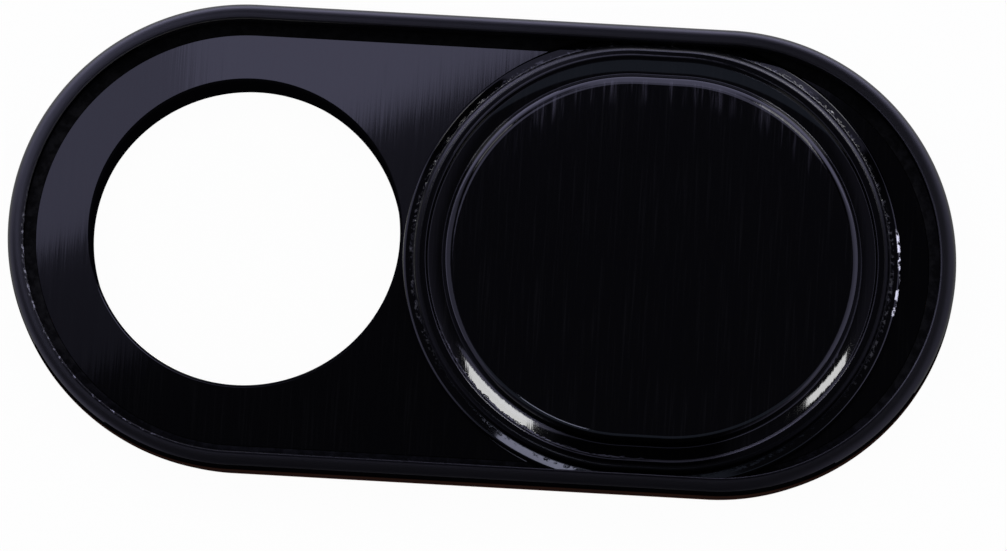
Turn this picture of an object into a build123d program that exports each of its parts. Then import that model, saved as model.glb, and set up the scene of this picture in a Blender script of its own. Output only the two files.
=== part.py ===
from build123d import *
from math import cos, radians, sin
import os

# Webcam cover slider: a pill-shaped metal tray with a round camera window at one end
# and an obround shutter that slides along it, held under the lip of the rim.
# Millimetres. Origin at the middle of the adhesive face, +X along the slide, +Z towards the user.

# Tray outline
overall_length = 17.0
overall_width = 8.46

# Heights of the stacked pieces
pad_thickness = 0.30
plate_thickness = 0.90
rim_height = 0.55           # rim above the brushed floor
dome_drop = 0.12            # outer edge below the top of the rim
channel_height = 0.27       # slot under the lip that the shutter's flange runs in
flange_thickness = 0.18     # where it meets the ring
flange_fall = 0.03          # flange's top falls this much to its edge
ring_height = 0.17          # shutter's raised ring above its flange
face_drop = 0.02            # brushed face below the crest of the ring

# Rim section
rim_width = 0.29            # outer edge to lip
dome_width = 0.22           # domed part of the rim's top
side_wall = 0.10            # outer edge to the shutter's channel
ledge_width = 0.47          # outer edge to the seat of the plate
side_band = 0.38            # upright part of the side, under the edge
foot_inset = 0.26           # outer edge to the foot of the bowed side

# Shutter section
shutter_straight = 0.74     # straight part of the obround shutter
ring_width = 0.22           # flat top of the raised ring
ring_slope = 0.04           # inner flank of the raised ring
moat_width = 0.26
moat_depth = 0.16           # foot of the brushed face below its level
moat_rise = 0.067           # moat's hollow floor climbs this much towards the ring
moat_lean = 11.0            # degrees that the moat's floor climbs at the foot of the face
face_crown = 0.25           # gently domed border of the brushed face
crown_drop = 0.022          # fall of the face over its border
face_slope = 0.05           # steep flank from the border down to the moat

# Camera window
window_diameter = 5.56
window_offset = 0.13        # window off the tray's middle line

# Clearances
running_gap = 0.04          # shutter to rim, all round
floor_gap = 0.03            # shutter to floor
bond_gap = 0.01             # glue line between plate and rim
open_gap = 0.89             # shutter's flange to the end of its channel when open
pad_outset = 0.09           # adhesive beyond the foot of the sides

# Edge rounds
edge_round = 0.05
lip_round = 0.05
ring_round = 0.12
face_round = 0.06
crest_round = 0.05
moat_round = 0.05           # both feet of the moat
flange_round = 0.05
window_round = 0.05

# Levels
floor_level = pad_thickness + plate_thickness
rim_top = floor_level + rim_height
edge_level = rim_top - dome_drop
waist_level = edge_level - side_band
channel_top = floor_level + channel_height
flange_bottom = floor_level + floor_gap
flange_top = flange_bottom + flange_thickness
flange_edge = flange_top - flange_fall
ring_top = flange_top + ring_height
face_level = ring_top - face_drop
crown_level = face_level - crown_drop
moat_low = face_level - moat_depth
moat_high = moat_low + moat_rise

# Every tray outline is offset from one spine, and every shutter outline from another
tray_radius = overall_width / 2
tray_straight = overall_length - overall_width
dome_radius = tray_radius - dome_width
lip_radius = tray_radius - rim_width
channel_radius = tray_radius - side_wall
ledge_radius = tray_radius - ledge_width
foot_radius = tray_radius - foot_inset
plate_radius = ledge_radius - bond_gap
flange_radius = channel_radius - running_gap
ring_radius = lip_radius - running_gap
crest_radius = ring_radius - ring_width
moat_radius = crest_radius - ring_slope
face_radius = moat_radius - moat_width
crown_radius = face_radius - face_slope
flat_radius = crown_radius - face_crown
shutter_length = shutter_straight + 2 * flange_radius

window_x = -tray_straight / 2
window_radius = window_diameter / 2
channel_end = tray_straight / 2 + channel_radius
shutter_x = channel_end - open_gap - shutter_length / 2


def rounded(section, corner, radius):
    """Round the corner of a section that lies nearest to the given point."""
    nearest = section.vertices().sort_by_distance((corner[0], 0, corner[1]))[0]
    return fillet(nearest, radius)


def around_spine(section, straight):
    """Carry a half section round an obround: a half turn at each end and two straight runs."""
    right_axis = Axis((straight / 2, 0, 0), (0, 0, 1))
    end = revolve(Pos(straight / 2, 0, 0) * Rot(0, 0, -90) * section, right_axis, 180)
    far_run = extrude(Pos(-straight / 2, 0, 0) * Rot(0, 0, 90) * section, straight, dir=(1, 0, 0))
    near_run = mirror(far_run, Plane.XZ)
    return (end + mirror(end, Plane.YZ) + far_run + near_run).clean()


def windowed_plate(radius, bottom, thickness):
    """Flat obround of one thickness with the camera window cut through it."""
    outline = SlotCenterToCenter(tray_straight, 2 * radius)
    outline -= Pos(window_x, window_offset) * Circle(window_radius)
    return Pos(0, 0, bottom) * extrude(outline, thickness)


def make_adhesive_pad():
    """Double-sided tape under the tray, cut out round the window."""
    return windowed_plate(foot_radius + pad_outset, 0, pad_thickness)


def make_base_plate():
    """Brushed floor plate that drops into the rim, with the eased camera window."""
    plate = windowed_plate(plate_radius, pad_thickness, plate_thickness)
    circles = plate.edges().filter_by(GeomType.CIRCLE)
    window_edge = circles.filter_by(lambda edge: edge.radius == window_radius).sort_by(Axis.Z)[-1]
    return fillet(window_edge, window_round)


def make_rim_frame():
    """Rim round the plate: bowed sides, domed top, lip over the channel, ledge level with the floor."""
    inside = Polyline(
        (foot_radius, pad_thickness),
        (ledge_radius, pad_thickness),
        (ledge_radius, floor_level),
        (channel_radius, floor_level),
        (channel_radius, channel_top),
        (lip_radius, channel_top),
        (lip_radius, rim_top),
        (dome_radius, rim_top),
    )
    dome = TangentArc((dome_radius, rim_top), (tray_radius, edge_level), tangent=(1, 0))
    band = Line((tray_radius, edge_level), (tray_radius, waist_level))
    bow = TangentArc((tray_radius, waist_level), (foot_radius, pad_thickness), tangent=(0, -1))
    section = Plane.XZ * make_face(inside + dome + band + bow)
    section = rounded(section, (tray_radius, edge_level), edge_round)
    section = rounded(section, (lip_radius, rim_top), lip_round)
    return around_spine(section, tray_straight)


def make_shutter():
    """Sliding shutter: flange, raised ring, hollow moat and a brushed face with a domed border."""
    lean = radians(moat_lean)
    up_the_moat = (cos(lean), sin(lean))
    moat = TangentArc((face_radius, moat_low), (moat_radius, moat_high), tangent=up_the_moat)
    outline = Polyline(
        (moat_radius, moat_high),
        (crest_radius, ring_top),
        (ring_radius, ring_top),
        (ring_radius, flange_top),
        (flange_radius, flange_edge),
        (flange_radius, flange_bottom),
        (0, flange_bottom),
        (0, face_level),
        (flat_radius, face_level),
    )
    border = TangentArc((flat_radius, face_level), (crown_radius, crown_level), tangent=(1, 0))
    flank = Line((crown_radius, crown_level), (face_radius, moat_low))
    section = Plane.XZ * make_face(moat + outline + border + flank)
    section = rounded(section, (ring_radius, ring_top), ring_round)
    section = rounded(section, (crest_radius, ring_top), crest_round)
    section = rounded(section, (moat_radius, moat_high), moat_round)
    section = rounded(section, (face_radius, moat_low), moat_round)
    section = rounded(section, (crown_radius, crown_level), face_round)
    section = rounded(section, (flange_radius, flange_edge), flange_round)
    return Pos(shutter_x, 0, 0) * around_spine(section, shutter_straight)


nodes = {
    "adhesive_pad": make_adhesive_pad(),
    "base_plate": make_base_plate(),
    "rim_frame": make_rim_frame(),
    "shutter": make_shutter(),
}

os.makedirs("parts", exist_ok=True)
for name, solid in nodes.items():
    export_step(solid, f"parts/{name}.step")
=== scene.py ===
import math

import bmesh
import bpy
from mathutils import Matrix, Vector


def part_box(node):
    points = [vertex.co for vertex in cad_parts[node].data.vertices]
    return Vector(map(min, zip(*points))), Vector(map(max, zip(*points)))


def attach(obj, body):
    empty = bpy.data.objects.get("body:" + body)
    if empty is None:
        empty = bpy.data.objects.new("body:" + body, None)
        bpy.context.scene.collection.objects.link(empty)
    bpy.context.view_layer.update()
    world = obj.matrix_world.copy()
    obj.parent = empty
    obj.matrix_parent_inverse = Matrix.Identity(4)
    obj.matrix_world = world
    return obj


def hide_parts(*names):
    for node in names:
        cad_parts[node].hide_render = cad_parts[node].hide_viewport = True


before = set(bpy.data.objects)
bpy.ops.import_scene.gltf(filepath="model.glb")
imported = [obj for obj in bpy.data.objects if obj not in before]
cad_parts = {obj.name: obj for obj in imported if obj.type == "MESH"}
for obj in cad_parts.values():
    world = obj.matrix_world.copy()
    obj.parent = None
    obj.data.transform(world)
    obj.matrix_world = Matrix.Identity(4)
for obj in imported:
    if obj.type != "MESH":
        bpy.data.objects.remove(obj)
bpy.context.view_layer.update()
mm = 0.001

# Sizes that every piece shares, read from the frame
rimLow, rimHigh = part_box("rim_frame")
plateLow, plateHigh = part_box("base_plate")
padLow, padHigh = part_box("adhesive_pad")
shutterLow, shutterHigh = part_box("shutter")
padRadius = (padHigh.y - padLow.y) / 2
trayRadius = (rimHigh.y - rimLow.y) / 2
trayStraight = rimHigh.x - rimLow.x - 2 * trayRadius
floorLevel = plateHigh.z
windowX, windowY = -trayStraight / 2, 0.13 * mm
shutterX = (shutterLow.x + shutterHigh.x) / 2
flangeRadius = (shutterHigh.y - shutterLow.y) / 2
shutterStraight = shutterHigh.x - shutterLow.x - 2 * flangeRadius
spinSteps = 360
print("frame read: tray radius", round(trayRadius / mm, 3), "mm, shutter at", round(shutterX / mm, 3), "mm")


# Mesh helpers

def arcPoints(start, end, tangent, count):
    along, up = end[0] - start[0], end[1] - start[1]
    ahead = along * tangent[0] + up * tangent[1]
    aside = up * tangent[0] - along * tangent[1]
    radius = (along * along + up * up) / (2 * aside)
    sweep = 2 * math.atan2(aside, ahead)
    points = []
    for step in range(1, count):
        turn = sweep * step / count
        forward, sideways = radius * math.sin(turn), radius * (1 - math.cos(turn))
        points.append((start[0] + forward * tangent[0] - sideways * tangent[1],
                       start[1] + forward * tangent[1] + sideways * tangent[0]))
    return points


def spunSection(section, closed):
    bm = bmesh.new()
    turn = Matrix.Rotation(math.pi / spinSteps, 3, "Z")  # half a step, so no edge lies on x = 0
    points = [bm.verts.new(turn @ Vector((r, 0, z))) for r, z in section]
    lines = [bm.edges.new(pair) for pair in zip(points, points[1:])]
    if closed:
        lines.append(bm.edges.new((points[-1], points[0])))
    bmesh.ops.spin(bm, geom=points + lines, cent=(0, 0, 0), axis=(0, 0, 1), angle=2 * math.pi,
                   steps=spinSteps, use_merge=True)
    return bm


def ringEdges(bm, r, z):
    near = 0.002 * mm
    onRing = {v for v in bm.verts if abs(math.hypot(v.co.x, v.co.y) - r) < near and abs(v.co.z - z) < near}
    return [e for e in bm.edges if e.verts[0] in onRing and e.verts[1] in onRing]


def roundRing(bm, r, z, width, segments):
    bmesh.ops.bevel(bm, geom=ringEdges(bm, r, z), offset=width, offset_type="OFFSET", affect="EDGES",
                    segments=segments, profile=0.5, material=-1)


def stretch(bm, straight, centreX=0.0):
    for side in (1, -1):
        half = [v for v in bm.verts if v.co.x * side > 0]
        bmesh.ops.translate(bm, verts=half, vec=(side * straight / 2, 0, 0))
    bmesh.ops.translate(bm, verts=bm.verts, vec=(centreX, 0, 0))


def cutWindow(bm, radius, top, bottom):
    ring = bmesh.ops.create_circle(bm, segments=spinSteps, radius=radius,
                                   matrix=Matrix.Translation((windowX, windowY, top)))["verts"]
    loop = [e for e in bm.edges if e.verts[0] in ring and e.verts[1] in ring]
    grown = bmesh.ops.extrude_edge_only(bm, edges=loop)["geom"]
    low = [part for part in grown if isinstance(part, bmesh.types.BMVert)]
    bmesh.ops.translate(bm, verts=low, vec=(0, 0, bottom - top))
    near = 1e-7
    for level in (top, bottom):
        flat = [e for e in bm.edges if all(abs(v.co.z - level) < near for v in e.verts)]
        bmesh.ops.triangle_fill(bm, edges=flat, use_beauty=True, normal=(0, 0, 1))
    return loop


def finishPiece(bm, name, materials, body, node, sharpAngle=35):
    bmesh.ops.remove_doubles(bm, verts=bm.verts, dist=0.0002 * mm)
    bmesh.ops.recalc_face_normals(bm, faces=bm.faces)
    mesh = bpy.data.meshes.new(name)
    bm.to_mesh(mesh)
    bm.free()
    mesh.shade_smooth()
    mesh.set_sharp_from_angle(angle=math.radians(sharpAngle))
    for polygon in mesh.polygons:
        polygon.use_smooth = abs(polygon.normal.z) < 0.99999  # level faces stay flat
    for material in materials:
        mesh.materials.append(material)
    piece = bpy.data.objects.new(name, mesh)
    bpy.context.scene.collection.objects.link(piece)
    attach(piece, body)
    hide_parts(node)
    print("made", name, "with", len(mesh.polygons), "faces")
    return piece


# Node helpers

def addNode(tree, kind, settings=None, **inputs):
    node = tree.nodes.new(kind)
    for key, value in (settings or {}).items():
        setattr(node, key, value)
    for key, value in inputs.items():
        socket = node.inputs[int(key[1:])] if key[0] == "i" and key[1:].isdigit() else node.inputs[key]
        if isinstance(value, bpy.types.NodeSocket):
            tree.links.new(value, socket)
        else:
            socket.default_value = value
    return node


def doMath(tree, operation, first, second=0.0, third=0.0):
    return addNode(tree, "ShaderNodeMath", dict(operation=operation), i0=first, i1=second, i2=third).outputs[0]


def doRange(tree, value, low, high, toLow=0.0, toHigh=1.0):
    node = addNode(tree, "ShaderNodeMapRange", dict(interpolation_type="SMOOTHSTEP"), Value=value)
    for key, number in (("From Min", low), ("From Max", high), ("To Min", toLow), ("To Max", toHigh)):
        node.inputs[key].default_value = number
    return node.outputs["Result"]


def newGroup(name, inputs, outputs):
    tree = bpy.data.node_groups.new(name, "ShaderNodeTree")
    for label, value in inputs:
        tree.interface.new_socket(label, in_out="INPUT", socket_type="NodeSocketFloat").default_value = value
    for label in outputs:
        tree.interface.new_socket(label, in_out="OUTPUT", socket_type="NodeSocketFloat")
    return tree, tree.nodes.new("NodeGroupInput"), tree.nodes.new("NodeGroupOutput")


def useGroup(tree, group, **inputs):
    node = addNode(tree, "ShaderNodeGroup", dict(node_tree=group))
    for label, value in inputs.items():
        node.inputs[label].default_value = value
    return node


def noise(tree, place, scaleXyz, detail, roughness):
    spread = addNode(tree, "ShaderNodeMapping", Vector=place, Scale=scaleXyz)
    node = addNode(tree, "ShaderNodeTexNoise", Vector=spread.outputs[0], Scale=1.0, Detail=detail,
                   Roughness=roughness)
    return node.outputs["Fac"]


# Brushing: long fine lines along Y, each a little different in depth.
# Each kind has its lines per millimetre across and along. The cut is where a line begins and where it is full.

brushing = dict(hair=(16, 0.35), wide=(5, 0.22), streak=(11, 0.5), scratch=(20, 0.5), wideShare=0.9,
                cut=(0.5, 0.8))


def makeBrushGroup():
    tree, _, leave = newGroup("brushLines", [], ["Height", "Streak", "Scratch"])
    place = addNode(tree, "ShaderNodeTexCoord").outputs["Object"]

    def lines(kind, detail, roughness):
        across, along = brushing[kind]
        return noise(tree, place, (across / mm, along / mm, 0.0), detail, roughness)

    wide = lines("wide", detail=2.0, roughness=0.5)
    hair = lines("hair", detail=2.0, roughness=0.6)
    total = doMath(tree, "MULTIPLY_ADD", wide, brushing["wideShare"], hair)
    streak = doRange(tree, lines("streak", detail=3.0, roughness=0.6), *brushing["cut"])
    scratch = doRange(tree, lines("scratch", detail=2.0, roughness=0.6), *brushing["cut"])
    tree.links.new(total, leave.inputs["Height"])
    tree.links.new(streak, leave.inputs["Streak"])
    tree.links.new(scratch, leave.inputs["Scratch"])
    return tree


# Lacquer: slight waviness all over, and grains and ragged patches for where the coat gathered; the ragged
# patches also mottle painted light, and the specks mask painted sparkle highlights.
# Each kind has its lumps per millimetre. The cuts are where a grain or a speck begins and where it is full.

lacquer = dict(wave=1.1, grain=11, rag=7, speck=13, grainCut=(0.5, 0.75), speckCut=(0.54, 0.66))


def makeLacquerGroup():
    tree, _, leave = newGroup("lacquerSkin", [], ["Wave", "Crust", "Rag", "Speck"])
    place = addNode(tree, "ShaderNodeTexCoord").outputs["Object"]

    def lumps(kind, detail, roughness):
        return noise(tree, place, (lacquer[kind] / mm,) * 3, detail, roughness)

    wave = lumps("wave", detail=1.0, roughness=0.5)
    grains = doRange(tree, lumps("grain", detail=3.0, roughness=0.6), *lacquer["grainCut"])
    rag = lumps("rag", detail=3.0, roughness=0.6)
    speck = doRange(tree, lumps("speck", detail=2.0, roughness=0.6), *lacquer["speckCut"])
    tree.links.new(wave, leave.inputs["Wave"])
    tree.links.new(grains, leave.inputs["Crust"])
    tree.links.new(rag, leave.inputs["Rag"])
    tree.links.new(speck, leave.inputs["Speck"])
    return tree


# Distance from the spine of an obround, in millimetres

def makeSpineGroup():
    tree, entry, leave = newGroup("spineDistance", [("Centre", 0.0), ("Half Straight", 0.0)], ["Distance"])
    place = addNode(tree, "ShaderNodeTexCoord").outputs["Object"]
    split = addNode(tree, "ShaderNodeSeparateXYZ", Vector=place)
    x, y = (doMath(tree, "MULTIPLY", split.outputs[axis], 1 / mm) for axis in "XY")
    fromCentre = doMath(tree, "ABSOLUTE", doMath(tree, "SUBTRACT", x, entry.outputs["Centre"]))
    past = doMath(tree, "MAXIMUM", doMath(tree, "SUBTRACT", fromCentre, entry.outputs["Half Straight"]), 0.0)
    square = doMath(tree, "MULTIPLY_ADD", past, past, doMath(tree, "MULTIPLY", y, y))
    tree.links.new(doMath(tree, "SQRT", square), leave.inputs["Distance"])
    return tree


brushGroup = makeBrushGroup()
lacquerGroup = makeLacquerGroup()
spineGroup = makeSpineGroup()


def newFinish(name, tint, roughness):
    material = bpy.data.materials.new(name)
    material.use_nodes = True
    shader = material.node_tree.nodes["Principled BSDF"]
    shader.inputs["Base Color"].default_value = (*tint, 1)
    shader.inputs["Roughness"].default_value = roughness
    return material, material.node_tree, shader


def tintInto(tree, shader, share, tint, other):
    first = tint if isinstance(tint, bpy.types.NodeSocket) else (*tint, 1)
    blend = addNode(tree, "ShaderNodeMix", dict(data_type="RGBA"), i0=share, i6=first, i7=(*other, 1))
    tree.links.new(blend.outputs[2], shader.inputs["Base Color"])
    return blend.outputs[2]


def allOf(tree, *masks):
    total = masks[0]
    for mask in masks[1:]:
        total = doMath(tree, "MULTIPLY", total, mask)
    return total


def ramp(tree, value, span, base=0.0, share=(0.0, 1.0)):
    return doRange(tree, value, base + span[0], base + span[1], *share)


def band(tree, value, rise, fall, base):
    return doMath(tree, "MULTIPLY", ramp(tree, value, rise, base), ramp(tree, value, fall, base))


def axesInMm(tree, axes):
    place = addNode(tree, "ShaderNodeTexCoord").outputs["Object"]
    split = addNode(tree, "ShaderNodeSeparateXYZ", Vector=place)
    return [doMath(tree, "MULTIPLY", split.outputs[axis], 1 / mm) for axis in axes]


def bumpInto(tree, shader, height, depth, normal=None):
    bump = addNode(tree, "ShaderNodeBump", Height=height, Strength=1.0, Distance=depth * mm)
    if normal is not None:
        tree.links.new(normal, bump.inputs["Normal"])
    tree.links.new(bump.outputs["Normal"], shader.inputs["Normal"])
    return bump.outputs["Normal"]


# Rim

rim = dict(width=0.29 * mm, domeWidth=0.22 * mm, domeDrop=0.12 * mm, sideWall=0.10 * mm,
           ledgeWidth=0.47 * mm, sideBand=0.38 * mm, footInset=0.26 * mm, channel=0.27 * mm,
           edgeRound=0.0147 * mm, lipRound=0.04 * mm, edgeLean=0.012,
           # the ledge tint is painted light on the ledge, the speck tint painted sparkle highlights
           tint=(0.0011, 0.0011, 0.0013), sideTint=(0.028, 0.0125, 0.0075), ledgeLightTint=(0.0085, 0.0085, 0.0095),
           paintedSparkleTint=(0.22, 0.22, 0.24), roughness=0.34, topGloss=0.5, sideGloss=0.0, lipDull=0.75,
           waveDepth=0.006, crustDepth=0.003, filletDepth=0.05)

# Where its marks lie, in millimetres from the lip, the edge or the floor, or along an axis
rimMarks = dict(crust=(0.06, 0.01), fillet=0.04,
                dull=dict(lip=(0.07, 0.04), y=(-1.5, -3.2)),
                side=dict(outer=(-0.12, -0.08), edge=(-0.12, -0.25), floor=(-0.01, -0.06)),
                mottledLedgeLight=dict(cut=(0.36, 0.66), least=0.35, y=(3.4, 1.6), far=0.25, x=(4.0, -6.0), right=0.75,
                          floor=(0.03, 0.01)),
                paintedSparkles=dict(lip=(0.05, 0.02), x=(-5.0, -6.5), y=(0.8, -0.6), edge=(0.0, 0.04)))


def rimFinish(name, gloss):
    material, tree, shader = newFinish(name, rim["tint"], rim["roughness"])
    shader.inputs["Specular IOR Level"].default_value = gloss
    skin = useGroup(tree, lacquerGroup)
    distance = useGroup(tree, spineGroup, **{"Half Straight": trayStraight / 2 / mm}).outputs["Distance"]
    x, y, z = axesInMm(tree, "XYZ")
    outer, floorHeight = trayRadius / mm, floorLevel / mm
    lip, ledge = outer - rim["width"] / mm, outer - rim["ledgeWidth"] / mm
    edge = (rimHigh.z - rim["domeDrop"]) / mm

    crust = doMath(tree, "MULTIPLY", skin.outputs["Crust"], ramp(tree, distance, rimMarks["crust"], lip))
    smooth = bumpInto(tree, shader, skin.outputs["Wave"], rim["waveDepth"])
    crusted = bumpInto(tree, shader, crust, rim["crustDepth"], smooth)
    fillet = doRange(tree, distance, ledge, lip + rimMarks["fillet"])
    bumpInto(tree, shader, fillet, rim["filletDepth"], crusted)

    # metal shows the dark tint as its gloss, so it dulls the near lip: painted shade on its reflection
    mark = rimMarks["dull"]
    nearLip = allOf(tree, ramp(tree, distance, mark["lip"], lip), ramp(tree, y, mark["y"]))
    tree.links.new(doMath(tree, "MULTIPLY", nearLip, rim["lipDull"]), shader.inputs["Metallic"])

    mark = rimMarks["side"]
    side = allOf(tree, ramp(tree, z, mark["edge"], edge), ramp(tree, distance, mark["outer"], outer))
    side = doMath(tree, "MAXIMUM", side, ramp(tree, z, mark["floor"], floorHeight))
    tinted = tintInto(tree, shader, side, rim["tint"], rim["sideTint"])
    # painted light on the ledge: mottled, lighter towards the near and left side where it catches light,
    # fainter at the far and right side
    mark = rimMarks["mottledLedgeLight"]
    mottledLedgeLight = allOf(tree, ramp(tree, skin.outputs["Rag"], mark["cut"], share=(mark["least"], 1.0)),
                 ramp(tree, y, mark["y"], share=(mark["far"], 1.0)),
                 ramp(tree, x, mark["x"], share=(mark["right"], 1.0)),
                 ramp(tree, z, mark["floor"], floorHeight))
    tinted = tintInto(tree, shader, mottledLedgeLight, tinted, rim["ledgeLightTint"])
    # painted sparkle highlights: light specks on the lip at the lower left end
    mark = rimMarks["paintedSparkles"]
    paintedSparkles = allOf(tree, skin.outputs["Speck"], ramp(tree, distance, mark["lip"], lip),
                   ramp(tree, x, mark["x"]), ramp(tree, y, mark["y"]), ramp(tree, z, mark["edge"], edge))
    tintInto(tree, shader, paintedSparkles, tinted, rim["paintedSparkleTint"])
    return material


def makeRim():
    lip, channel = trayRadius - rim["width"], trayRadius - rim["sideWall"]
    dome, ledge = trayRadius - rim["domeWidth"], trayRadius - rim["ledgeWidth"]
    foot, bottom = trayRadius - rim["footInset"], rimLow.z
    top, edge = rimHigh.z, rimHigh.z - rim["domeDrop"]
    under = floorLevel + rim["channel"]
    waist = edge - rim["sideBand"]
    section = [(foot, bottom), (ledge, bottom), (ledge, floorLevel), (channel, floorLevel), (channel, under),
               (lip, under), (lip, top), (dome, top)]
    section += arcPoints((dome, top), (trayRadius, edge), (1, 0), count=12)
    section += [(trayRadius, edge), (trayRadius, waist)]
    section += arcPoints((trayRadius, waist), (foot, bottom), (0, -1), count=12)
    bm = spunSection(section, closed=True)
    roundRing(bm, trayRadius, edge, rim["edgeRound"], segments=5)
    roundRing(bm, lip, top, rim["lipRound"], segments=12)
    stretch(bm, trayStraight)
    for face in bm.faces:
        middle = face.calc_center_median()
        face.material_index = 1 if middle.z + rim["edgeLean"] * middle.y < edge else 0
    finishes = [rimFinish("glossRim", rim["topGloss"]), rimFinish("rimSide", rim["sideGloss"])]
    return finishPiece(bm, "rim", finishes, "tray", "rim_frame")


# Base plate

plate = dict(windowRadius=2.78 * mm, windowRound=0.05 * mm, edgeDrop=0.004 * mm, windowReach=0.06 * mm,
             tint=(0.0011, 0.0011, 0.0013), scratchTint=(0.0026, 0.0026, 0.0028),
             roughness=0.045, streakRoughness=0.07, brushDepth=0.0003,
             cutTint=(0.002, 0.002, 0.0025), cutRoughness=0.7)


def brushedPlate():
    material, tree, shader = newFinish("brushedPlate", plate["tint"], plate["roughness"])
    brush = useGroup(tree, brushGroup)
    tintInto(tree, shader, brush.outputs["Scratch"], plate["tint"], plate["scratchTint"])
    bumpInto(tree, shader, brush.outputs["Height"], plate["brushDepth"])
    tree.links.new(doRange(tree, brush.outputs["Streak"], 0, 1, plate["roughness"], plate["streakRoughness"]),
                   shader.inputs["Roughness"])
    return material


def punchedEdge():
    material, _, shader = newFinish("punchedEdge", plate["cutTint"], plate["cutRoughness"])
    shader.inputs["Specular IOR Level"].default_value = 0.0
    return material


def inWindow(point):
    return math.hypot(point.x - windowX, point.y - windowY) < plate["windowRadius"] + plate["windowReach"]


def makePlate():
    radius = (plateHigh.y - plateLow.y) / 2
    bm = spunSection([(radius, plateHigh.z), (radius, plateLow.z)], closed=False)
    stretch(bm, trayStraight)
    edge = cutWindow(bm, plate["windowRadius"], plateHigh.z, plateLow.z)
    bmesh.ops.bevel(bm, geom=edge, offset=plate["windowRound"], offset_type="OFFSET", affect="EDGES",
                    segments=6, profile=0.5, material=-1)
    for face in bm.faces:
        middle = face.calc_center_median()
        face.material_index = 1 if inWindow(middle) and middle.z < plateHigh.z - plate["edgeDrop"] else 0
    finishes = [brushedPlate(), punchedEdge()]
    return finishPiece(bm, "floorPlate", finishes, "tray", "base_plate")


# Shutter

shutter = dict(flangeThick=0.18 * mm, flangeFall=0.03 * mm, flangeRound=0.0427 * mm, flangeBorder=0.05 * mm,
               ringRadius=3.90 * mm, ringWidth=0.22 * mm, ringSlope=0.04 * mm, ringRound=0.12 * mm,
               crestRound=0.014 * mm, moatWidth=0.26 * mm, moatDepth=0.16 * mm, moatRise=0.067 * mm,
               moatLean=11.0, outerFoot=0.01 * mm, innerFoot=0.014 * mm, faceDrop=0.02 * mm,
               faceCrown=0.16 * mm, crownDrop=0.05 * mm, faceSlope=0.05 * mm, faceRound=0.03 * mm,
               coreShare=0.3,
               tint=(0.0011, 0.0011, 0.0013), scratchTint=(0.0026, 0.0026, 0.0028),
               # the bead, speck and fray tints are painted glints, sparkle highlights and reflection streaks
               paintedGlintTint=(0.7, 0.7, 0.74), paintedSparkleTint=(0.03, 0.03, 0.033), paintedStreakTint=(0.022, 0.021, 0.027),
               roughness=0.05, streakRoughness=0.09, roundRoughness=0.3,
               ringDull=0.78, borderDull=0.85, flangeDull=0.75,
               brushDepth=0.0006, crustDepth=0.002, ragDepth=0.006)

# Where its marks lie, in millimetres from a step of its section, or along an axis
shutterMarks = dict(ring=(-0.02, 0.04),
                    crust=dict(rise=(-0.1, -0.02), fall=(0.08, 0.02)),
                    rag=dict(waver=0.16, crest=(0.0, 0.06), y=(-1.0, -2.0), x=(0.5, -0.5)),
                    paintedBeadGlint=dict(cut=(0.48, 0.56), flange=(-0.06, -0.04), x=(4.30, 4.34), rise=(-0.9, -0.7),
                              fall=(0.85, 0.65)),
                    speck=dict(rise=(-0.05, -0.01), fall=(0.09, 0.05), y=(-2.6, -1.2)),
                    paintedStreak=dict(rise=(-0.45, 0.0), fall=(0.10, 0.04), y=(1.4, 2.2)),
                    outerRound=dict(rise=(-0.13, -0.09), fall=(0.03, 0.0), y=(2.6, 0.5)),
                    nearRing=dict(rise=(-0.45, -0.40), fall=(0.10, 0.06), y=(-1.8, -2.8), aside=(1.9, 1.2)),
                    border=dict(rise=(0.03, 0.06), fall=(0.10, 0.07), y=(0.4, 1.2), aside=(1.0, 1.8)),
                    flange=dict(rise=(0.01, 0.04), y=(1.0, 1.8)))


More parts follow.
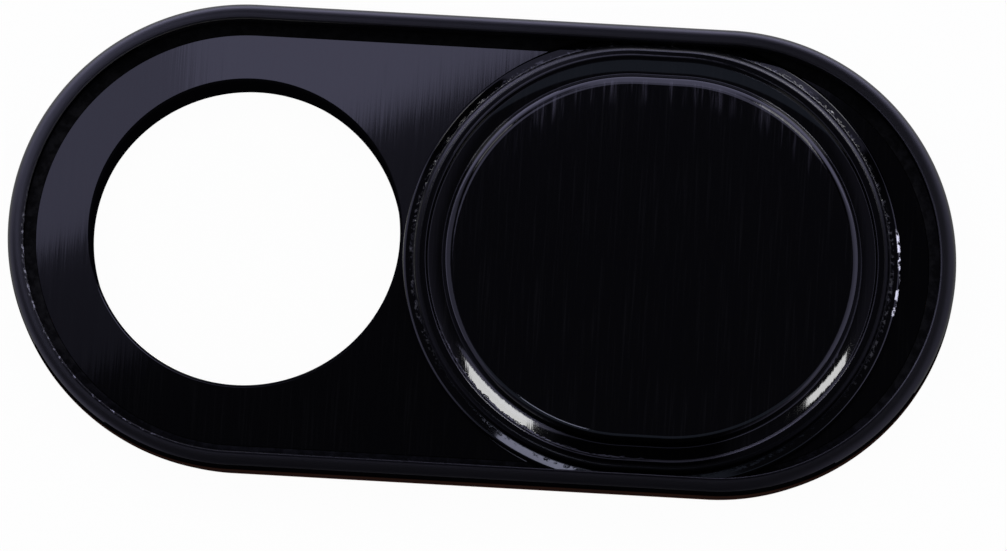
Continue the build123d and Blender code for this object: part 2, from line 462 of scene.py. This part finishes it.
def shutterFinish():
    material, tree, shader = newFinish("shutterFinish", shutter["tint"], shutter["roughness"])
    brush = useGroup(tree, brushGroup)
    skin = useGroup(tree, lacquerGroup)
    spine = {"Centre": shutterX / mm, "Half Straight": shutterStraight / 2 / mm}
    distance = useGroup(tree, spineGroup, **spine).outputs["Distance"]
    x, y = axesInMm(tree, "XY")
    centre = shutterX / mm
    aside = doMath(tree, "ABSOLUTE", doMath(tree, "SUBTRACT", x, centre))
    flange, ring = flangeRadius / mm, shutter["ringRadius"] / mm
    crest = ring - shutter["ringWidth"] / mm
    inward = shutter["ringSlope"] + shutter["moatWidth"] + shutter["faceSlope"] + shutter["faceCrown"]
    flat = crest - inward / mm

    # brushing on the face, crust by the ring's step, and a ragged ring at the lower left
    onFace = doMath(tree, "SUBTRACT", 1.0, ramp(tree, distance, shutterMarks["ring"], crest))
    brushed = doMath(tree, "MULTIPLY", brush.outputs["Height"], onFace)
    lined = bumpInto(tree, shader, brushed, shutter["brushDepth"])
    mark = shutterMarks["crust"]
    crust = allOf(tree, skin.outputs["Crust"], band(tree, distance, mark["rise"], mark["fall"], ring))
    crusted = bumpInto(tree, shader, crust, shutter["crustDepth"], lined)
    mark = shutterMarks["rag"]
    wavering = doMath(tree, "MULTIPLY_ADD", skin.outputs["Rag"], mark["waver"], distance)
    ragged = allOf(tree, ramp(tree, wavering, mark["crest"], crest), ramp(tree, y, mark["y"]),
                   ramp(tree, x, mark["x"], centre))
    bumpInto(tree, shader, ragged, shutter["ragDepth"], crusted)

    # scratches; painted glints at the flange's right end, painted sparkle highlights by the step, and painted
    # reflection streaks in from the far border
    scratch = doMath(tree, "MULTIPLY", brush.outputs["Scratch"], onFace)
    tinted = tintInto(tree, shader, scratch, shutter["tint"], shutter["scratchTint"])
    # painted glints: near-white dots in ragged patches along the flange's right end
    mark = shutterMarks["paintedBeadGlint"]
    paintedBeadGlints = allOf(tree, ramp(tree, skin.outputs["Rag"], mark["cut"]),
                  ramp(tree, distance, mark["flange"], flange), ramp(tree, x, mark["x"], centre),
                  band(tree, y, mark["rise"], mark["fall"], 0.0))
    tinted = tintInto(tree, shader, paintedBeadGlints, tinted, shutter["paintedGlintTint"])
    # painted sparkle highlights: light specks by the ring's step, not on the near side
    mark = shutterMarks["speck"]
    paintedSparkles = allOf(tree, skin.outputs["Speck"], band(tree, distance, mark["rise"], mark["fall"], ring),
                   ramp(tree, y, mark["y"]))
    tinted = tintInto(tree, shader, paintedSparkles, tinted, shutter["paintedSparkleTint"])
    # painted reflection: lighter brush streaks just inside the face's far border
    mark = shutterMarks["paintedStreak"]
    paintedStreaks = allOf(tree, brush.outputs["Streak"], band(tree, distance, mark["rise"], mark["fall"], flat),
                   ramp(tree, y, mark["y"]))
    tintInto(tree, shader, paintedStreaks, tinted, shutter["paintedStreakTint"])

    # the ring's outer round is rougher than the rest
    mark = shutterMarks["outerRound"]
    onRound = band(tree, distance, mark["rise"], mark["fall"], ring)
    nearRound = doMath(tree, "MULTIPLY", onRound, ramp(tree, y, mark["y"]))
    streak = doMath(tree, "MULTIPLY", brush.outputs["Streak"], onFace)
    faceRoughness = doRange(tree, streak, 0, 1, shutter["roughness"], shutter["streakRoughness"])
    tree.links.new(doMath(tree, "MULTIPLY_ADD", onRound, shutter["roundRoughness"], faceRoughness),
                   shader.inputs["Roughness"])

    # metal shows the dark tint as its gloss, so it dulls the near ring, the far border and the far flange:
    # painted shade on their reflections
    mark = shutterMarks["nearRing"]
    nearRing = allOf(tree, band(tree, distance, mark["rise"], mark["fall"], crest), ramp(tree, y, mark["y"]),
                     ramp(tree, aside, mark["aside"]))
    dullRing = doMath(tree, "MULTIPLY", doMath(tree, "MAXIMUM", nearRing, nearRound), shutter["ringDull"])
    mark = shutterMarks["border"]
    border = allOf(tree, band(tree, distance, mark["rise"], mark["fall"], flat), ramp(tree, y, mark["y"]),
                   ramp(tree, aside, mark["aside"]))
    dullBorder = doMath(tree, "MULTIPLY", border, shutter["borderDull"])
    mark = shutterMarks["flange"]
    farFlange = allOf(tree, ramp(tree, distance, mark["rise"], ring), ramp(tree, y, mark["y"]))
    dullFlange = doMath(tree, "MULTIPLY", farFlange, shutter["flangeDull"])
    dull = doMath(tree, "MAXIMUM", dullRing, doMath(tree, "MAXIMUM", dullBorder, dullFlange))
    tree.links.new(dull, shader.inputs["Metallic"])
    return material


def makeShutter():
    bottom, top = shutterLow.z, shutterHigh.z
    flangeTop = bottom + shutter["flangeThick"]
    flangeEdge = flangeTop - shutter["flangeFall"]
    ring = shutter["ringRadius"]
    crest = ring - shutter["ringWidth"]
    moatOuter = crest - shutter["ringSlope"]
    faceRadius = moatOuter - shutter["moatWidth"]
    crownRadius = faceRadius - shutter["faceSlope"]
    flatRadius = crownRadius - shutter["faceCrown"]
    faceLevel = top - shutter["faceDrop"]
    crownLevel = faceLevel - shutter["crownDrop"]
    moatLow = faceLevel - shutter["moatDepth"]
    moatHigh = moatLow + shutter["moatRise"]
    lean = math.radians(shutter["moatLean"])
    upTheMoat = (math.cos(lean), math.sin(lean))
    core = faceRadius * shutter["coreShare"]
    section = [(core, faceLevel), (flatRadius, faceLevel)]
    section += arcPoints((flatRadius, faceLevel), (crownRadius, crownLevel), (1, 0), count=12)
    section += [(crownRadius, crownLevel), (faceRadius, moatLow)]
    section += arcPoints((faceRadius, moatLow), (moatOuter, moatHigh), upTheMoat, count=10)
    slope = (flangeTop - flangeEdge) / (flangeRadius - ring)
    section += [(moatOuter, moatHigh), (crest, top), (ring, top), (ring, flangeTop),
                (flangeRadius - shutter["flangeBorder"], flangeEdge + shutter["flangeBorder"] * slope),
                (flangeRadius, flangeEdge), (flangeRadius, bottom), (core, bottom)]
    bm = spunSection(section, closed=False)
    roundRing(bm, ring, top, shutter["ringRound"], segments=10)
    roundRing(bm, crest, top, shutter["crestRound"], segments=6)
    roundRing(bm, moatOuter, moatHigh, shutter["outerFoot"], segments=5)
    roundRing(bm, faceRadius, moatLow, shutter["innerFoot"], segments=6)
    roundRing(bm, crownRadius, crownLevel, shutter["faceRound"], segments=6)
    roundRing(bm, flangeRadius, flangeEdge, shutter["flangeRound"], segments=6)
    stretch(bm, shutterStraight, shutterX)
    bmesh.ops.holes_fill(bm, edges=[e for e in bm.edges if e.is_boundary], sides=0)
    return finishPiece(bm, "shutterCap", [shutterFinish()], "shutter", "shutter")


# Adhesive pad

pad = dict(tint=(0.17, 0.07, 0.04), roughness=0.6, windowRadius=2.83 * mm)


def amberAdhesive():
    material, _, shader = newFinish("amberAdhesive", pad["tint"], pad["roughness"])
    shader.inputs["Specular IOR Level"].default_value = 0.0
    return material


def makePad():
    bm = spunSection([(padRadius, padHigh.z), (padRadius, padLow.z)], closed=False)
    stretch(bm, trayStraight)
    cutWindow(bm, pad["windowRadius"], padHigh.z, padLow.z)
    for face in bm.faces:
        middle = face.calc_center_median()
        face.material_index = 1 if inWindow(middle) and abs(face.normal.z) < 0.5 else 0
    return finishPiece(bm, "adhesivePad", [amberAdhesive(), punchedEdge()], "tray", "adhesive_pad")


rimPiece = makeRim()
floorPlate = makePlate()
shutterCap = makeShutter()
makePad()


# Floor

ground = dict(size=400 * mm, tint=(0.86, 0.86, 0.87), roughness=0.9, drop=0.005 * mm, glow=0.97)


def paleFloor():
    material, tree, shader = newFinish("paleFloor", ground["tint"], ground["roughness"])
    shader.inputs["Specular IOR Level"].default_value = 0.0
    path = addNode(tree, "ShaderNodeLightPath")
    seen = doMath(tree, "MAXIMUM", path.outputs["Is Camera Ray"], path.outputs["Is Glossy Ray"])
    seen = doMath(tree, "MAXIMUM", seen, path.outputs["Is Transmission Ray"])
    share = doMath(tree, "MULTIPLY", seen, ground["glow"])
    white = addNode(tree, "ShaderNodeEmission", Strength=1.0)
    blend = addNode(tree, "ShaderNodeMixShader", Fac=share, i1=shader.outputs[0], i2=white.outputs[0])
    tree.links.new(blend.outputs[0], tree.nodes["Material Output"].inputs["Surface"])
    return material


def makeFloor():
    bm = bmesh.new()
    bmesh.ops.create_grid(bm, x_segments=1, y_segments=1, size=ground["size"] / 2,
                          matrix=Matrix.Translation((0, 0, padLow.z - ground["drop"])))
    mesh = bpy.data.meshes.new("floor")
    bm.to_mesh(mesh)
    bm.free()
    mesh.materials.append(paleFloor())
    floor = bpy.data.objects.new("floor", mesh)
    bpy.context.scene.collection.objects.link(floor)


makeFloor()


# Camera

camera = dict(centre=(0.0, 0.0, 0.67 * mm), tiltY=10.84, tiltX=1.74, roll=3.49, distance=150 * mm,
              imageWidth=1007, imageHeight=551, pixelsPerMm=55.55, pixel=(482.45, 258.2))


def makeCamera():
    data = bpy.data.cameras.new("camera")
    data.sensor_width = 36.0
    viewWidth = camera["imageWidth"] / camera["pixelsPerMm"] * mm
    data.lens = data.sensor_width * camera["distance"] / viewWidth
    data.clip_start = 1 * mm
    data.clip_end = 2.0
    leanX, leanY = math.tan(math.radians(camera["tiltX"])), math.tan(math.radians(camera["tiltY"]))
    back = Vector((leanX, -leanY, 1)).normalized()
    level = Vector((0, 1, 0)).cross(back).normalized()
    turn = Matrix((level, back.cross(level), back)).transposed()
    turn = turn @ Matrix.Rotation(math.radians(camera["roll"]), 3, "Z")
    right, up = turn.col[0], turn.col[1]
    offX = (camera["imageWidth"] / 2 - camera["pixel"][0]) / camera["pixelsPerMm"] * mm
    offY = (camera["pixel"][1] - camera["imageHeight"] / 2) / camera["pixelsPerMm"] * mm
    aim = Vector(camera["centre"]) + right * offX + up * offY
    item = bpy.data.objects.new("camera", data)
    item.rotation_mode = "QUATERNION"
    item.rotation_quaternion = turn.to_quaternion()
    item.location = aim + back * camera["distance"]
    bpy.context.scene.collection.objects.link(item)
    bpy.context.scene.camera = item
    print("camera lens", round(data.lens, 1), "mm")


makeCamera()


# Lights

def softbox(name, place, aim, size, radiance, tint=(1, 1, 1)):
    data = bpy.data.lights.new(name, "AREA")
    data.shape = "RECTANGLE"
    data.size, data.size_y = size[0] * mm, size[1] * mm
    data.energy = radiance * math.pi * data.size * data.size_y
    data.color = tint
    item = bpy.data.objects.new(name, data)
    item.location = Vector(place) * mm
    item.rotation_mode = "QUATERNION"
    item.rotation_quaternion = (Vector(aim) * mm - item.location).to_track_quat("-Z", "Y")
    item.visible_camera = False
    bpy.context.scene.collection.objects.link(item)
    return item


def lampAt(name, azimuth, elevation, distance, size, radiance):
    flat = math.cos(math.radians(elevation)) * distance
    place = (flat * math.cos(math.radians(azimuth)), flat * math.sin(math.radians(azimuth)),
             distance * math.sin(math.radians(elevation)))
    return softbox(name, place, (0, 0, 0), size, radiance)


def lightOnly(lamp, pieces):
    lamp.light_linking.receiver_collection = bpy.data.collections.new(lamp.name)
    for piece in pieces:
        lamp.light_linking.receiver_collection.objects.link(piece)


# Two lamps for the glints on the ring
lamps = dict(lampRight=dict(azimuth=62, elevation=52, distance=140, size=(26, 32), radiance=14.0),
             lampLeft=dict(azimuth=128, elevation=55, distance=140, size=(20, 14), radiance=14.0))
for name, lamp in lamps.items():
    lightOnly(lampAt(name, **lamp), [shutterCap])

# Overhead cards that share one slanting edge, each at its own height because cards in one plane hide each other
card = dict(edgeFrom=(-13.78, 13.96), edgeTo=(-5.1, 17.9), length=52.0, depth=20.0, tint=(0.66, 0.65, 1.0))
overheadCards = dict(overheadCard=dict(height=80, first=-2.0, shift=1.0, radiance=1.12,
                                       pieces=[floorPlate, shutterCap]),
                     overheadSkirt=dict(height=82, first=-2.0, shift=-2.2, radiance=0.18, pieces=[floorPlate]),
                     overheadRight=dict(height=78, first=5.0, shift=1.0, radiance=0.55, pieces=[floorPlate]))


def makeCard(name, height, first, shift, radiance, pieces):
    start, end = Vector(card["edgeFrom"]), Vector(card["edgeTo"])
    along = (end - start).normalized()
    outward = Vector((-along.y, along.x))
    middle = start + along * (first + card["length"] / 2) + outward * (shift + card["depth"] / 2)
    item = softbox(name, (middle.x, middle.y, height), (middle.x, middle.y, 0),
                   (card["length"], card["depth"]), radiance, card["tint"])
    item.rotation_quaternion = Matrix.Rotation(math.atan2(along.y, along.x), 3, "Z").to_quaternion()
    lightOnly(item, pieces)


for name, values in overheadCards.items():
    makeCard(name, **values)

# Low cards round the shutter, for the lines on its ring and border
lowHeight = 8
lowCards = dict(backCard=dict(place=(3, 13.5), size=(34, 14), radiance=1.8),
                leftCard=dict(place=(-11, 3), size=(14, 18), radiance=0.6),
                rightCard=dict(place=(17, 3), size=(14, 18), radiance=0.7))
for name, low in lowCards.items():
    item = softbox(name, (*low["place"], lowHeight), (*low["place"], 0), low["size"], low["radiance"],
                   card["tint"])
    lightOnly(item, [shutterCap])

# A small card in front for the crescent on the flange, turned about the upright
frontCard = dict(place=(-0.98, -5.12), height=17.4, size=(3.6, 1.4), radiance=5.0,
                 tint=(0.72, 0.74, 1.0), turn=-21)
item = softbox("frontCard", (*frontCard["place"], frontCard["height"]), (*frontCard["place"], 0),
               frontCard["size"], frontCard["radiance"], frontCard["tint"])
item.rotation_quaternion = Matrix.Rotation(math.radians(frontCard["turn"]), 3, "Z").to_quaternion()
lightOnly(item, [shutterCap])

# Broad weak glows
rimCool = (0.8, 0.78, 1.0)
glows = dict(frontGlow=dict(place=(0, -27, 80), aim=(0, -27, 0), size=(110, 26), radiance=0.26,
                            tint=(0.58, 0.7, 1.0)),
             rimGlow=dict(place=(10, -55, 100), aim=(10, -55, 0), size=(220, 120), radiance=0.06, tint=rimCool),
             rimSide=dict(place=(65, 0, 100), aim=(65, 0, 0), size=(120, 110), radiance=0.16, tint=rimCool),
             rimWindow=dict(place=(-50, 40, 64), aim=(0, 0, 0), size=(60, 100), radiance=1.25,
                            tint=card["tint"]))
for name, glow in glows.items():
    lightOnly(softbox(name, **glow), [shutterCap] if name == "frontGlow" else [rimPiece])

# Plain light on everything
fillLight = dict(place=(0, 0, 150), aim=(0, 0, 0), size=(150, 150), radiance=2.2)
fill = softbox("overheadFill", **fillLight)
fill.visible_glossy = False
print("lights set:", len(bpy.data.lights))


# Studio: pale walls low at the back and the sides, a weak glow high in front, dark elsewhere
studio = dict(back=1.1, backLow=4.5, left=0.9, right=0.5, front=0.08, side=0.09, base=0.02,
              tint=(0.68, 0.66, 1.0))

# How far round each part of the studio reaches, as parts of the ray's direction
reach = dict(wallZ=(0.60, 0.35), backY=(0.2, 0.75), lowY=(0.6, 0.98), lowZ=(0.4, 0.05), sideX=(0.25, 0.75),
             rightZ=(0.9, 0.6), asideX=(0.34, 0.5))


def makeWorld():
    world = bpy.data.worlds.new("studio")
    world.use_nodes = True
    tree = world.node_tree
    ray = addNode(tree, "ShaderNodeTexCoord").outputs["Generated"]
    split = addNode(tree, "ShaderNodeSeparateXYZ", Vector=ray)
    x, y, z = (split.outputs[axis] for axis in "XYZ")
    toLeft, toFront = (doMath(tree, "MULTIPLY", axis, -1.0) for axis in (x, y))
    width = doMath(tree, "ABSOLUTE", x)

    wall = ramp(tree, z, reach["wallZ"])
    behind = ramp(tree, y, reach["backY"], share=(0.0, studio["back"]))
    glow = ramp(tree, y, reach["lowY"], share=(0.0, studio["backLow"]))
    glow = doMath(tree, "MULTIPLY", glow, ramp(tree, z, reach["lowZ"]))
    left = ramp(tree, toLeft, reach["sideX"], share=(0.0, studio["left"]))
    near = ramp(tree, toFront, reach["sideX"], share=(0.0, studio["front"]))
    right = ramp(tree, x, reach["sideX"], share=(0.0, studio["right"]))
    right = doMath(tree, "MULTIPLY", right, ramp(tree, z, reach["rightZ"]))
    low = doMath(tree, "ADD", doMath(tree, "ADD", behind, glow), doMath(tree, "ADD", left, near))
    walls = doMath(tree, "MULTIPLY_ADD", low, wall, right)
    aside = ramp(tree, width, reach["asideX"], share=(0.0, studio["side"]))
    total = doMath(tree, "ADD", walls, doMath(tree, "ADD", aside, studio["base"]))
    sky = tree.nodes["Background"]
    sky.inputs["Color"].default_value = (*studio["tint"], 1)
    tree.links.new(total, sky.inputs["Strength"])
    bpy.context.scene.world = world


makeWorld()
bpy.context.scene.view_settings.view_transform = "Standard"
